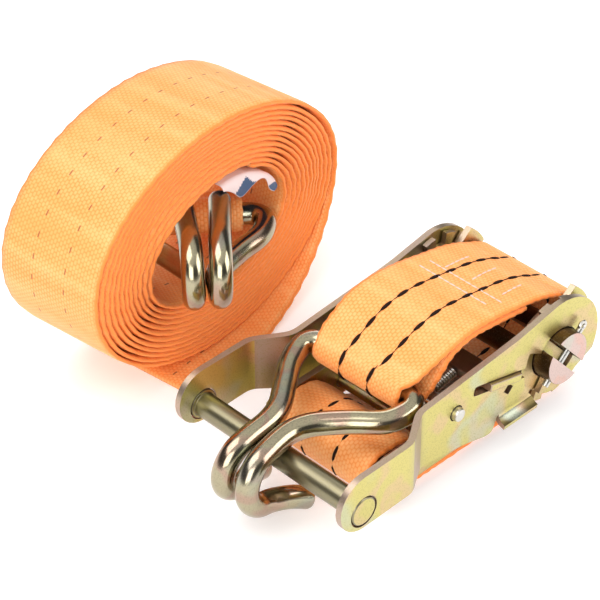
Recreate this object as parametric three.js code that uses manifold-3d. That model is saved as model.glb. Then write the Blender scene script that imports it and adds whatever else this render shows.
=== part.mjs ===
// Ratchet tie down: a ratchet with a short hooked strap, and a long hooked strap wound into a coil.
// Millimetres, +Z up. The ratchet runs from its grip bar at x = 0 to its spindle at +X, and its
// near side faces -Y. The coil stands on its rim behind the ratchet, at +Y.

import * as THREE from 'three';
import { mergeVertices } from 'three/addons/utils/BufferGeometryUtils.js';
import Module from 'manifold-3d';

const wasm = await Module();
wasm.setup();

// ---------------------------------------------------------------- driving dimensions

const gap = 0.3; // clearance between neighbouring pieces

const webbingWidth = 35;
const webbingThickness = 1.6;

const gripHeight = 19.8; // grip axis above the floor
const spindleReach = 83.2; // from the grip axis to the spindle axis, along x
const spindleRise = 1.4; // spindle axis above the grip axis

const sideClearance = 0.8; // webbing edge to frame plate
const framePlate = 2.0;
const gearThickness = 1.6;
const handlePlate = 1.85;
const joggleStep = 6.6; // how much wider the handle is at its grip end
const joggleStart = 18.3;
const joggleEnd = 28.2;

const gripRadius = 3.5;
const gripRivetRadius = 4.4;
const crossPinRadius = 2.1;
const crossPin = { x: 41.7, z: 4.2 };

const boltRadius = 3;
const boltHeadRadius = 5;
const boltHead = 2.4;
const sleeveRadius = 4.6;
const anchor = { x: 21.5, z: -8.5 };
const tieRadius = 1.8;
const tieRod = { x: 42, z: -9.5 };

const mandrelRadius = 7.9;
const mandrelSlot = 4.0; // width of the slot between the two halves
const mandrelEnd = 3.6; // how far the mandrel stands out of the handle
const mandrelTurn = 42; // degrees from +X to the line across the slot
const cotterRadius = 1.0;
const gearRadius = 16.2;
const gearRoot = 12.6;
const gearTeeth = 12;
const camRadius = 12.4;
const hornRadius = 18.6;

const pawlThickness = 2.4;
const drivePawlTip = { x: -13.0, z: 0.6, slope: 14 }; // engaged, from the spindle; slope in degrees
const lockPawlTip = { x: -11.85, z: -6.04, slope: -14 };
const pawlTravel = 3.6;
const driveHeldBack = 3.5; // the drive pawl is stored clear of the teeth by this much
const springRadius = 1.6;
const springWire = 0.35;

const wireDiameter = 6.5;
const crossbar = { x: 32.5, y: 0.4 };
const hookYaw = 4.5; // degrees
const elbowBend = 4.6; // bend radius of the wire's centre line
const hookRoll = 4; // degrees, the crossbar's far end higher
const shankGap = 0.5; // between the two shanks
const bendRadius = 8.3; // centre line of each J bend
const hookReach = 39.2; // crossbar to the centre of the J bends
const shankShift = 3.5; // sideways, from the crossbar's middle to between the shanks

const coil = { x: 36.2, y: 80.0, turn: 6.8, width: 51.8, height: 37.3 };
const coilRoom = { width: 21.4, height: 10.8 }; // half sizes inside the coil, beside its hook's wire
const coilHook = { u: 9.2, behindNearFace: 16.5, turn: 224, below: 5.8 };
const labelThickness = 0.4;

// ---------------------------------------------------------------- derived sizes

const wireRadius = wireDiameter / 2;
const halfWebbing = webbingWidth / 2;
const frameInner = halfWebbing + sideClearance;
const frameOuter = frameInner + framePlate;
const gearInner = frameOuter + gap + 0.05;
const gearOuter = gearInner + gearThickness;
const handleInner = gearOuter + gap + 0.05;
const handleOuter = handleInner + handlePlate;
const gripInner = handleInner + joggleStep;
const gripOuter = gripInner + handlePlate;
const mandrelHalfLength = handleOuter + mandrelEnd;
const cotterY = mandrelHalfLength - cotterRadius - 2 * gap - 0.1;
const spindle = { x: spindleReach, z: spindleRise };
const holeRadius = mandrelRadius + gap;
const pawlSlot = pawlThickness + 2 * gap;
const crossbarZ = gripRadius + gap + wireRadius + 3.25;
const hookSlope = (crossbarZ - (gripRadius + gap + wireRadius + 0.05)) / crossbar.x;
const loopOffset = wireRadius + gap + webbingThickness / 2 + 0.05;
const layerPitch = webbingThickness + gap;
const hole = { width: coilRoom.width + wireDiameter, height: coilRoom.height + wireDiameter };
const floorLine = webbingThickness / 2 - gripHeight; // centre line of webbing on the floor

// ---------------------------------------------------------------- materials

const steel = (color, roughness = 0.35) => {
  return new THREE.MeshStandardMaterial({ color, roughness, metalness: 0.9 });
};
const zincPlate = steel(0xb9b37c);
const zincWire = steel(0x9a9470, 0.28);
const zincDark = steel(0x8d8a62, 0.4);
const springSteel = steel(0xa8a8a0, 0.3);
const webbingCloth = new THREE.MeshStandardMaterial({ color: 0xff8a2a, roughness: 0.75, metalness: 0 });
const labelPaper = new THREE.MeshStandardMaterial({ color: 0xf2e6e4, roughness: 0.6, metalness: 0 });

// ---------------------------------------------------------------- helpers

const radians = THREE.MathUtils.degToRad;

// Points of an arc, angles in degrees from +x towards +z.
function arc(cx, cz, radius, from, to, steps) {
  const points = [];
  for (let i = 0; i <= steps; i += 1) {
    const angle = radians(from + ((to - from) * i) / steps);
    points.push([cx + radius * Math.cos(angle), cz + radius * Math.sin(angle)]);
  }
  return points;
}

// A closed outline. A third number rounds that corner by about that radius.
function outline(points, CurveType = THREE.Shape) {
  const path = [];
  points.forEach(([x, z, round = 0], i) => {
    if (round === 0) {
      path.push(new THREE.Vector2(x, z));
      return;
    }
    const corner = new THREE.Vector2(x, z);
    const before = new THREE.Vector2(...points[(i + points.length - 1) % points.length].slice(0, 2));
    const after = new THREE.Vector2(...points[(i + 1) % points.length].slice(0, 2));
    const start = corner.clone().add(before.sub(corner).setLength(round));
    const end = corner.clone().add(after.sub(corner).setLength(round));
    path.push(...new THREE.QuadraticBezierCurve(start, corner, end).getPoints(4));
  });
  return new CurveType(path);
}

// An outline in x and z, made into a plate from yLow up to yHigh.
function plateY(shape, yLow, yHigh) {
  const geometry = new THREE.ExtrudeGeometry(shape, { depth: yHigh - yLow, bevelEnabled: false });
  return geometry.rotateX(Math.PI / 2).translate(0, yHigh, 0);
}

// A rod from one point to another.
function rod(from, to, radius, sides = 20) {
  const axis = new THREE.Vector3().subVectors(to, from);
  const geometry = new THREE.CylinderGeometry(radius, radius, axis.length(), sides);
  const up = new THREE.Vector3(0, 1, 0);
  const turn = new THREE.Quaternion().setFromUnitVectors(up, axis.clone().normalize());
  const middle = from.clone().add(to).multiplyScalar(0.5);
  return geometry.applyQuaternion(turn).translate(middle.x, middle.y, middle.z);
}

function rodY(x, z, radius, yLow, yHigh, sides = 24) {
  return rod(new THREE.Vector3(x, yLow, z), new THREE.Vector3(x, yHigh, z), radius, sides);
}

function toManifold(source) {
  const bare = source.clone();
  bare.deleteAttribute('normal');
  bare.deleteAttribute('uv');
  const merged = mergeVertices(bare, 1e-4);
  const vertProperties = new Float32Array(merged.attributes.position.array);
  const triVerts = new Uint32Array(merged.index.array);
  return new wasm.Manifold(new wasm.Mesh({ numProp: 3, vertProperties, triVerts }));
}

function toGeometry(solid) {
  const mesh = solid.getMesh();
  const geometry = new THREE.BufferGeometry();
  geometry.setAttribute('position', new THREE.BufferAttribute(new Float32Array(mesh.vertProperties), 3));
  geometry.setIndex(new THREE.BufferAttribute(new Uint32Array(mesh.triVerts), 1));
  geometry.computeVertexNormals();
  return geometry;
}

function cut(geometry, ...tools) {
  return toGeometry(tools.reduce((solid, tool) => solid.subtract(toManifold(tool)), toManifold(geometry)));
}

function join(geometry, ...others) {
  return toGeometry(others.reduce((solid, other) => solid.add(toManifold(other)), toManifold(geometry)));
}

function overlapOf(geometry, other) {
  return toGeometry(toManifold(geometry).intersect(toManifold(other)));
}

// A round wire along a smooth path.
function wire(points, radius, sides, steps) {
  const path = new THREE.CatmullRomCurve3(points, false, 'centripetal');
  const section = new THREE.Shape();
  const ring = arc(0, 0, radius, 0, 360, sides).slice(0, -1);
  section.setFromPoints(ring.map(([x, y]) => new THREE.Vector2(x, y)));
  return new THREE.ExtrudeGeometry(section, { steps, extrudePath: path, bevelEnabled: false });
}

// A strap along stations [x, z, half width] in the x z plane, its width along y. lean(x) gives how
// far an edge shifts along x and z for every millimetre of y, and shift(t) moves a station along y.
function strap(stations, thickness, { perSpan = 4, lean = () => [0, 0], shift = () => 0 } = {}) {
  const curve = new THREE.CatmullRomCurve3(
    stations.map(([x, z]) => new THREE.Vector3(x, 0, z)),
    false,
    'centripetal',
  );
  const spans = stations.length - 1;
  const count = spans * perSpan;
  const positions = [];
  for (let i = 0; i <= count; i += 1) {
    const t = i / count;
    const span = Math.min(Math.floor(i / perSpan), spans - 1);
    const part = i / perSpan - span;
    const half = THREE.MathUtils.lerp(stations[span][2], stations[span + 1][2], part);
    const point = curve.getPoint(t);
    const tangent = curve.getTangent(t);
    const normal = new THREE.Vector3(-tangent.z, 0, tangent.x).setLength(thickness / 2);
    const [leanX, leanZ] = lean(point.x);
    [[-half, 1], [half, 1], [half, -1], [-half, -1]].forEach(([y, side]) => {
      const x = point.x + side * normal.x + leanX * y;
      positions.push(x, y + shift(t), point.z + side * normal.z + leanZ * y);
    });
  }
  const index = [0, 1, 2, 0, 2, 3];
  for (let i = 0; i < count; i += 1) {
    for (let side = 0; side < 4; side += 1) {
      const a = i * 4 + side;
      const b = i * 4 + ((side + 1) % 4);
      index.push(a, a + 4, b, b, a + 4, b + 4);
    }
  }
  const last = count * 4;
  index.push(last, last + 2, last + 1, last, last + 3, last + 2);
  const geometry = new THREE.BufferGeometry();
  geometry.setAttribute('position', new THREE.Float32BufferAttribute(positions, 3));
  geometry.setIndex(index);
  geometry.computeVertexNormals();
  return geometry;
}

// A coil spring between two points.
function spring(from, to, turns = 7) {
  const axis = new THREE.Vector3().subVectors(to, from);
  const points = [];
  const steps = turns * 8;
  for (let i = 0; i <= steps; i += 1) {
    const angle = (i / 8) * 2 * Math.PI;
    const along = springWire + ((axis.length() - 2 * springWire) * i) / steps;
    points.push(new THREE.Vector3(springRadius * Math.cos(angle), springRadius * Math.sin(angle), along));
  }
  const turn = new THREE.Quaternion().setFromUnitVectors(new THREE.Vector3(0, 0, 1), axis.normalize());
  return wire(points, springWire, 5, turns * 9).applyQuaternion(turn).translate(from.x, from.y, from.z);
}

const ratchet = new THREE.Group();
ratchet.position.z = gripHeight;

const coilGroup = new THREE.Group();
coilGroup.position.set(coil.x, coil.y, coil.height + gap + webbingThickness);
coilGroup.rotation.z = radians(coil.turn);

function place(group, name, geometry, material) {
  const mesh = new THREE.Mesh(geometry, material);
  mesh.name = name;
  group.add(mesh);
  return mesh;
}

const sides = [['near', -1], ['far', 1]];

// A plate on one side of the ratchet, from inner to outer distance from the middle plane.
function sidePlate(shape, sign, inner, outer) {
  return plateY(shape, Math.min(sign * inner, sign * outer), Math.max(sign * inner, sign * outer));
}

// ---------------------------------------------------------------- frame

// The slot's outline, along a pawl's slide, from one distance behind its tip to another.
function pawlSlotShape(tip, from, to) {
  const slope = radians(tip.slope);
  const half = pawlSlot / 2;
  const corner = (s, side) => [
    spindle.x + tip.x - s * Math.cos(slope) + side * half * Math.sin(slope),
    spindle.z + tip.z + s * Math.sin(slope) + side * half * Math.cos(slope),
    half * 0.8,
  ];
  return outline([corner(from, -1), corner(from, 1), corner(to, 1), corner(to, -1)]);
}

function framePlateGeometry(sign) {
  const shape = outline([
    ...arc(anchor.x, anchor.z, 6.8, 90, 270, 12),
    [anchor.x + 8, anchor.z - 6.1, 3],
    [spindle.x - 7.5, anchor.z - 5.2, 3],
    ...arc(spindle.x, spindle.z, camRadius, -62, 20, 8),
    ...arc(spindle.x, spindle.z, hornRadius, 26, 54, 5),
    ...arc(spindle.x, spindle.z, camRadius, 62, 164, 10),
    [spindle.x - 19, spindle.z - 0.8, 2],
    [spindle.x - 25, spindle.z - 2.0, 2],
  ]);
  return cut(
    sidePlate(shape, sign, frameInner, frameOuter),
    rodY(anchor.x, anchor.z, boltRadius + gap, -40, 40),
    rodY(tieRod.x, tieRod.z, tieRadius + gap, -40, 40, 16),
    rodY(spindle.x, spindle.z, holeRadius, -40, 40, 36),
    plateY(pawlSlotShape(lockPawlTip, -0.5, 12.3 + pawlTravel), -40, 40),
  );
}

for (const [side, sign] of sides) {
  place(ratchet, `frame_plate_${side}`, framePlateGeometry(sign), zincPlate);
}

function anchorBoltGeometry() {
  const headY = frameOuter + gap;
  const head = rodY(anchor.x, anchor.z, boltHeadRadius, -headY - boltHead, -headY, 24);
  return join(head, rodY(anchor.x, anchor.z, boltRadius, -headY - 0.5, headY + boltHead + 0.6, 20));
}

function anchorNutGeometry() {
  const nut = rodY(anchor.x, anchor.z, boltHeadRadius, frameOuter + gap, frameOuter + gap + boltHead, 6);
  return cut(nut, rodY(anchor.x, anchor.z, boltRadius + gap, 0, 60, 20));
}

const sleeveHalf = frameInner - gap;
place(ratchet, 'anchor_bolt', anchorBoltGeometry(), zincDark);
place(ratchet, 'anchor_nut', anchorNutGeometry(), zincDark);
place(
  ratchet,
  'anchor_sleeve',
  cut(
    rodY(anchor.x, anchor.z, sleeveRadius, -sleeveHalf, sleeveHalf),
    rodY(anchor.x, anchor.z, boltRadius + gap, -40, 40, 20),
  ),
  zincPlate,
);
place(ratchet, 'frame_tie', rodY(tieRod.x, tieRod.z, tieRadius, -frameOuter, frameOuter, 16), zincDark);

// ---------------------------------------------------------------- spindle

const acrossSlot = radians(mandrelTurn);

// A D: the part of a disc that lies beyond a flat, on one side of the slot.
function dShape(radius, flat, turn, CurveType) {
  const half = THREE.MathUtils.radToDeg(Math.acos(flat / radius));
  const points = arc(spindle.x, spindle.z, radius, turn - half, turn + half, 18);
  return outline(points, CurveType);
}

function alongSlotLine(distance, y, turn = acrossSlot) {
  return new THREE.Vector3(
    spindle.x + distance * Math.cos(turn),
    y,
    spindle.z + distance * Math.sin(turn),
  );
}

function gearGeometry(sign) {
  const pitch = 360 / gearTeeth;
  const drive = THREE.MathUtils.radToDeg(Math.atan2(drivePawlTip.z, drivePawlTip.x));
  const rootHalf = THREE.MathUtils.radToDeg((pawlThickness / 2 + 0.55) / gearRoot);
  const tipHalf = THREE.MathUtils.radToDeg((pawlThickness / 2 + 1.1) / gearRadius);
  const points = [];
  for (let tooth = 0; tooth < gearTeeth; tooth += 1) {
    const middle = drive + tooth * pitch;
    points.push(...arc(spindle.x, spindle.z, gearRoot, middle - rootHalf, middle + rootHalf, 1));
    points.push(...arc(spindle.x, spindle.z, gearRadius, middle + tipHalf, middle + pitch - tipHalf, 2));
  }
  const shape = outline(points);
  const flat = mandrelSlot / 2 - gap;
  shape.holes.push(dShape(holeRadius, flat, mandrelTurn, THREE.Path));
  shape.holes.push(dShape(holeRadius, flat, mandrelTurn + 180, THREE.Path));
  return sidePlate(shape, sign, gearInner, gearOuter);
}

for (const [side, sign] of sides) {
  place(ratchet, `gear_${side}`, gearGeometry(sign), zincPlate);
}

const cotterHoles = sides.map(([, sign]) => {
  const y = sign * cotterY;
  return rod(alongSlotLine(-20, y), alongSlotLine(20, y), cotterRadius + gap, 16);
});
for (const [name, turn] of [['mandrel_half_upper', mandrelTurn], ['mandrel_half_lower', mandrelTurn + 180]]) {
  const half = plateY(dShape(mandrelRadius, mandrelSlot / 2, turn), -mandrelHalfLength, mandrelHalfLength);
  place(ratchet, name, cut(half, ...cotterHoles), zincDark);
}

function cotterGeometry(sign) {
  const y = sign * cotterY;
  const eyeCentre = alongSlotLine(mandrelRadius + 2.1, y);
  const eye = new THREE.TorusGeometry(1.15, 0.55, 8, 16).rotateX(Math.PI / 2);
  eye.translate(eyeCentre.x, eyeCentre.y, eyeCentre.z);
  const start = alongSlotLine(-mandrelRadius - 1.8, y);
  const end = alongSlotLine(mandrelRadius + 1.1, y);
  const pin = rod(start, end, cotterRadius, 12);
  return join(pin, eye);
}

for (const [side, sign] of sides) {
  place(ratchet, `cotter_${side}`, cotterGeometry(sign), springSteel);
}

// ---------------------------------------------------------------- handle

function handleOutline() {
  return outline([
    ...arc(0, 3, 8.5, 90, 270, 14),
    [17, -5.0, 3],
    [29, -6.7],
    [spindle.x - 37, -9.2, 4],
    [spindle.x - 29.2, -11.4, 1.2],
    [spindle.x - 26.2, -11.4, 1.2],
    [spindle.x - 24.6, -6.8, 1],
    ...arc(spindle.x, spindle.z, camRadius + 0.2, 219, 312, 8),
    ...arc(spindle.x + 0.3, spindle.z + 0.6, 16.6, -25, 95, 12),
    [spindle.x - 16.2, 15.6, 3],
    [spindle.x - 24.2, 14.8, 3],
    [28, 11.9, 4],
  ]);
}

// The joggled sheet that the plate is cut from, seen from above and standing from z -30 to 30.
function joggledSheet(sign) {
  const inset = 0.6;
  const far = spindle.x + 40;
  const sheet = outline([
    [-30, sign * gripOuter],
    [joggleStart, sign * gripOuter, 2.4],
    [joggleEnd, sign * handleOuter, 2],
    [far, sign * handleOuter],
    [far, sign * handleInner],
    [joggleEnd - inset, sign * handleInner, 2.4],
    [joggleStart - inset, sign * gripInner, 2],
    [-30, sign * gripInner],
  ]);
  return new THREE.ExtrudeGeometry(sheet, { depth: 60, bevelEnabled: false }).translate(0, 0, -30);
}

// The lip that turns outward under the pawl slot.
function lipGeometry(sign) {
  const top = -6.2;
  const profile = [
    [handleInner, top],
    [handleOuter, top],
    [handleOuter + 0.25, top - 1.2],
    [handleOuter + 1.1, top - 2.4],
    [handleOuter + 2.6, top - 3.1],
    [handleOuter + 2.2, top - 4.6],
    [handleOuter + 0.1, top - 3.8],
    [handleInner + 0.6, top - 2.2],
  ];
  const shape = new THREE.Shape(profile.map(([y, z]) => new THREE.Vector2(sign * y, z)));
  const bar = new THREE.ExtrudeGeometry(shape, { depth: 13.6, bevelEnabled: false });
  const turn = new THREE.Matrix4().makeBasis(
    new THREE.Vector3(0, 1, 0),
    new THREE.Vector3(0, 0, 1),
    new THREE.Vector3(1, 0, 0),
  );
  return bar.applyMatrix4(turn).translate(spindle.x - 24, 0, 0);
}

// The opening beside the mandrel, through which the gear's teeth show.
function gearWindow() {
  const inner = arc(spindle.x, spindle.z, holeRadius - 1, 236, 152, 8);
  return plateY(outline([...arc(spindle.x, spindle.z, camRadius + 1.4, 152, 236, 10), ...inner]), -60, 60);
}

function handlePlateGeometry(sign) {
  const slab = plateY(handleOutline(), -60, 60);
  const square = rodY(spindle.x - 20.4, spindle.z - 1.1, 1.9, -60, 60, 4);
  return cut(
    join(overlapOf(slab, joggledSheet(sign)), lipGeometry(sign)),
    rodY(0, 0, gripRivetRadius + gap, -60, 60, 28),
    rodY(crossPin.x, crossPin.z, crossPinRadius + gap, -60, 60),
    rodY(spindle.x, spindle.z, holeRadius, -60, 60, 36),
    plateY(pawlSlotShape(drivePawlTip, -2.3, 22.4), -60, 60),
    square,
    gearWindow(),
  );
}

for (const [side, sign] of sides) {
  place(ratchet, `handle_plate_${side}`, handlePlateGeometry(sign), zincPlate);
}

function gripBarGeometry() {
  const profile = [
    [0, -gripOuter - 0.2],
    [gripRivetRadius - 0.5, -gripOuter - 0.2],
    [gripRivetRadius, -gripOuter + 0.3],
    [gripRivetRadius, -gripInner + 0.2],
    [gripRadius, -gripInner + 0.2],
    [gripRadius, gripInner - 0.2],
    [gripRivetRadius, gripInner - 0.2],
    [gripRivetRadius, gripOuter - 0.3],
    [gripRivetRadius - 0.5, gripOuter + 0.2],
    [0, gripOuter + 0.2],
  ];
  return new THREE.LatheGeometry(profile.map(([r, y]) => new THREE.Vector2(r, y)), 28);
}

const pinHalf = handleOuter + 1.8;
place(ratchet, 'grip_bar', gripBarGeometry(), zincPlate);
place(ratchet, 'cross_pin', rodY(crossPin.x, crossPin.z, crossPinRadius, -pinHalf, pinHalf), zincDark);

// ---------------------------------------------------------------- pawls

// A pawl blank from half its outline, [half width, distance behind the tip], placed at its tip.
function pawlGeometry(tip, half) {
  const near = half.map(([y, s]) => new THREE.Vector2(s, y));
  const far = half.slice().reverse().map(([y, s]) => new THREE.Vector2(s, -y));
  const shape = new THREE.Shape([...near, ...far].filter((point) => point.y !== 0));
  const blank = new THREE.ExtrudeGeometry(shape, { depth: pawlThickness, bevelEnabled: false });
  blank.translate(0, 0, -pawlThickness / 2);
  blank.rotateY(radians(tip.slope) + Math.PI);
  return blank.translate(spindle.x + tip.x, 0, spindle.z + tip.z);
}

const earOut = handleOuter + 1.2;
const drivePawlRear = 14.5;
const driveSlope = radians(drivePawlTip.slope);
const drivePawlStored = {
  x: drivePawlTip.x - driveHeldBack * Math.cos(driveSlope),
  z: drivePawlTip.z + driveHeldBack * Math.sin(driveSlope),
  slope: drivePawlTip.slope,
};
place(
  ratchet,
  'drive_pawl',
  pawlGeometry(drivePawlStored, [
    [frameInner - 0.4, 4.5],
    [frameInner - 0.4, 7.5],
    [frameOuter + 0.4, 7.5],
    [frameOuter + 0.4, 0],
    [earOut, 0],
    [earOut, 13],
    [handleInner - 0.4, 13],
    [handleInner - 0.4, drivePawlRear],
    [8, drivePawlRear],
    [7, 23],
  ]),
  zincPlate,
);

const lockPawlRear = 14.5;
const lockEarOut = handleInner - gap;

// The lock pawl's finger tab, bent up behind it, as a band along the path of its middle.
function lockTabGeometry() {
  const tip = { x: spindle.x + lockPawlTip.x, z: spindle.z + lockPawlTip.z };
  const path = [
    [tip.x - 13.6, tip.z - 3.4, 7.5],
    [tip.x - 18.4, tip.z - 3.4, 7.5],
    [tip.x - 23.4, tip.z - 1.0, 7.5],
    [tip.x - 27.9, tip.z + 1.4, 7.2],
    [tip.x - 31.8, tip.z + 3.0, 6.4],
  ];
  return strap(path, pawlThickness, { perSpan: 2 });
}

place(
  ratchet,
  'lock_pawl',
  join(
    pawlGeometry(lockPawlTip, [
      [frameInner - 0.4, 4.5],
      [frameInner - 0.4, 0],
      [lockEarOut, 0],
      [lockEarOut, 12],
      [frameInner - 0.4, 12],
      [frameInner - 0.4, lockPawlRear],
    ]),
    lockTabGeometry(),
  ),
  zincPlate,
);

// The middle of a pawl's rear edge, where its springs push.
function rearOf(tip, rear, y) {
  const slope = radians(tip.slope);
  const s = rear + 2 * gap;
  return new THREE.Vector3(
    spindle.x + tip.x - s * Math.cos(slope),
    y,
    spindle.z + tip.z + s * Math.sin(slope),
  );
}

for (const [side, sign] of sides) {
  const driveStart = new THREE.Vector3(crossPin.x + crossPinRadius + gap, sign * 13, crossPin.z + 0.3);
  const lockStart = new THREE.Vector3(tieRod.x + tieRadius + gap, sign * 10, tieRod.z + 0.1);
  const driveEnd = rearOf(drivePawlStored, drivePawlRear, sign * 13);
  const lockEnd = rearOf(lockPawlTip, lockPawlRear, sign * 10);
  place(ratchet, `drive_spring_${side}`, spring(driveStart, driveEnd), springSteel);
  place(ratchet, `lock_spring_${side}`, spring(lockStart, lockEnd), springSteel);
}

// ---------------------------------------------------------------- hooks

// A double J hook, in its own frame: its crossbar is centred on the origin along y, its two
// shanks run forward along x, side by side, and its J bends turn down. tipSplay gives how far
// the two tips lean outward, flare how far they dip, and shift moves both shanks sideways.
function hookGeometry({ halfLength, slope, bendX, tipBack, tipSplay, flare, shift }) {
  const half = (splay, sideways) => {
    const shankY = wireRadius + shankGap / 2 + sideways;
    const armEnd = bendX - 9;
    const flat = [
      [0, 0],
      [0, halfLength - elbowBend],
      ...arc(elbowBend, halfLength - elbowBend, elbowBend, 150, 90, 2),
      [11, halfLength - 1.9],
      [18, THREE.MathUtils.lerp(halfLength, shankY, 0.52)],
      [25, THREE.MathUtils.lerp(halfLength, shankY, 0.88)],
      [armEnd, shankY],
      [bendX, shankY],
    ];
    const points = flat.map(([x, y]) => new THREE.Vector3(x, y, -slope * x));
    const topZ = -slope * bendX;
    for (const angle of [60, 30, 0, -30, -60, -90]) {
      const a = radians(angle);
      const lean = (splay * (90 - angle)) / 600;
      points.push(new THREE.Vector3(
        bendX + bendRadius * Math.cos(a),
        shankY + lean,
        topZ - bendRadius + bendRadius * Math.sin(a),
      ));
    }
    for (const part of [0.35, 0.7, 1]) {
      points.push(new THREE.Vector3(
        bendX - tipBack * part,
        shankY + splay * (0.3 + 0.7 * part),
        topZ - 2 * bendRadius - flare * part * part,
      ));
    }
    return points;
  };
  const right = half(tipSplay[0], -shift);
  const left = half(tipSplay[1], shift).slice(1).reverse();
  left.forEach((point) => {
    point.y = -point.y;
  });
  return wire([...left, ...right], wireRadius, 9, 120);
}

const hookHalfLength = handleInner - gap - wireRadius - 0.35;
const ratchetHook = place(
  ratchet,
  'ratchet_hook',
  hookGeometry({
    halfLength: hookHalfLength,
    slope: hookSlope,
    bendX: hookReach,
    tipBack: 10,
    tipSplay: [6, 3],
    flare: 2.8,
    shift: shankShift,
  }),
  zincWire,
);
ratchetHook.position.set(crossbar.x, crossbar.y, crossbarZ);
ratchetHook.rotation.set(-radians(hookRoll), 0, Math.PI + radians(hookYaw), 'ZYX');

// ---------------------------------------------------------------- short strap

// Stations [x, z, half width], from the stitched tail round the anchor sleeve, along the floor,
// round outside the spindle, over the top, and round the hook's crossbar back to the stitching.
const full = halfWebbing;
const gathered = hookHalfLength - wireRadius - 0.8; // between the hook's arms
const wrap = sleeveRadius + gap + 1.0 + webbingThickness / 2;
const underFloorRun = floorLine + layerPitch;
const overTop = 21.1 + (webbingThickness - 1.6);

place(
  ratchet,
  'short_strap_lower',
  strap(
    [
      [50, underFloorRun, full],
      [42, -14.5, full],
      [36, -8, full],
      [30, -2.8, full],
      ...arc(anchor.x, anchor.z, wrap, 78, 270, 8).map(([x, z]) => [x, z, full]),
      [26.5, floorLine + 1.6, full],
      [31, floorLine + 0.45, full],
      [36, floorLine + 0.05, full],
      [42, floorLine, full],
      [60, floorLine, full],
      [spindle.x + 1.3, floorLine, full],
    ],
    webbingThickness,
    { perSpan: 3 },
  ),
  webbingCloth,
);

place(
  ratchet,
  'short_strap_bight',
  strap(
    [
      [spindle.x + 1.3 + gap, floorLine, full],
      [spindle.x + 8.8, floorLine + 1.2, full],
      [spindle.x + 15.1, -12.5, full],
      [spindle.x + 18.0, -4, full],
      [spindle.x + 17.8, 3.5, full],
      [spindle.x + 15.4, 9, full],
      [spindle.x + 12.2, 11.2, full],
      [spindle.x + 8.9, 12.6, full],
    ],
    webbingThickness,
    { perSpan: 4 },
  ),
  webbingCloth,
);

const loopLean = (x) => {
  const share = THREE.MathUtils.clamp((70 - x) / 30, 0, 1);
  return [-share * Math.tan(radians(hookYaw)), share * Math.tan(radians(hookRoll))];
};
const loopPoint = (angle) => {
  const a = radians(angle);
  return [crossbar.x + loopOffset * Math.cos(a), crossbarZ + loopOffset * Math.sin(a)];
};
place(
  ratchet,
  'short_strap_top',
  strap(
    [
      [spindle.x + 8.9 - gap, 12.75, full],
      [spindle.x + 3.8, 15, full],
      [spindle.x - 3.2, 17.3, full],
      [72, 18.8, full],
      [63, overTop - 0.8, full],
      [54, overTop, full],
      [45, overTop - 1.3, full],
      [39, overTop - 3.7, full - 0.6],
      [...loopPoint(85), full - 1.4],
      [...loopPoint(130), gathered],
      [...loopPoint(180), gathered],
      [...loopPoint(230), gathered],
      [...loopPoint(280), full - 2],
      [38.0, 8.5, full - 0.8],
      [41.6, 13.3, full],
      [46, overTop - 3.9, full],
      [54, overTop - layerPitch, full],
      [63, overTop - 0.8 - layerPitch, full],
      [72, 18.8 - layerPitch, full],
      [77, 18.1 - layerPitch, full],
    ],
    webbingThickness,
    { perSpan: 3, lean: loopLean },
  ),
  webbingCloth,
);

// ---------------------------------------------------------------- long strap, coiled

function ellipse(halfWidth, halfHeight, steps, CurveType) {
  const points = [];
  for (let i = 0; i < steps; i += 1) {
    const angle = (i / steps) * 2 * Math.PI;
    points.push(new THREE.Vector2(halfWidth * Math.cos(angle), halfHeight * Math.sin(angle)));
  }
  return new CurveType(points);
}

function coilGeometry() {
  const ring = ellipse(coil.width, coil.height, 72, THREE.Shape);
  ring.holes.push(ellipse(hole.width, hole.height, 56, THREE.Path));
  return plateY(ring, -halfWebbing, halfWebbing);
}

const tailOffset = gap + webbingThickness / 2;
const tailArc = [];
for (let angle = -12; angle >= -90; angle -= 6) {
  const a = radians(angle);
  tailArc.push([
    (coil.width + tailOffset) * Math.cos(a),
    (coil.height + tailOffset) * Math.sin(a),
    halfWebbing,
  ]);
}
const tailFloor = -(coil.height + tailOffset);
const tailRun = [-8, -16, -24].map((x) => [x, tailFloor, halfWebbing]);
const tailShift = (t) => -10.5 * THREE.MathUtils.smoothstep(t, 0.3, 1);

place(coilGroup, 'long_strap_coil', coilGeometry(), webbingCloth);
place(
  coilGroup,
  'long_strap_tail',
  strap([...tailArc, ...tailRun], webbingThickness, { perSpan: 2, shift: tailShift }),
  webbingCloth,
);

const labelOffset = gap + labelThickness / 2;
const labelStations = [];
for (let angle = 86; angle >= 14; angle -= 8) {
  const a = radians(angle);
  labelStations.push([
    (hole.width - labelOffset) * Math.cos(a),
    (hole.height - labelOffset) * Math.sin(a),
    6,
  ]);
}
place(
  coilGroup,
  'coil_label',
  strap(labelStations, labelThickness, { perSpan: 1, shift: () => 5.5 - halfWebbing }),
  labelPaper,
);

// The coil's hook lies level in the hole with its J bends out in front, turned upward.
const hookGroup = new THREE.Group();
hookGroup.position.set(coilHook.u, coilHook.behindNearFace - halfWebbing, -coilHook.below);
hookGroup.rotation.z = radians(coilHook.turn);
coilGroup.add(hookGroup);

const coilHookMesh = place(
  hookGroup,
  'coil_hook',
  hookGeometry({
    halfLength: 22.15 - wireRadius,
    slope: 0,
    bendX: 36.6,
    tipBack: 20,
    tipSplay: [1.8, 1.8],
    flare: 0,
    shift: 0,
  }),
  zincWire,
);
coilHookMesh.rotation.x = Math.PI;

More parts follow.
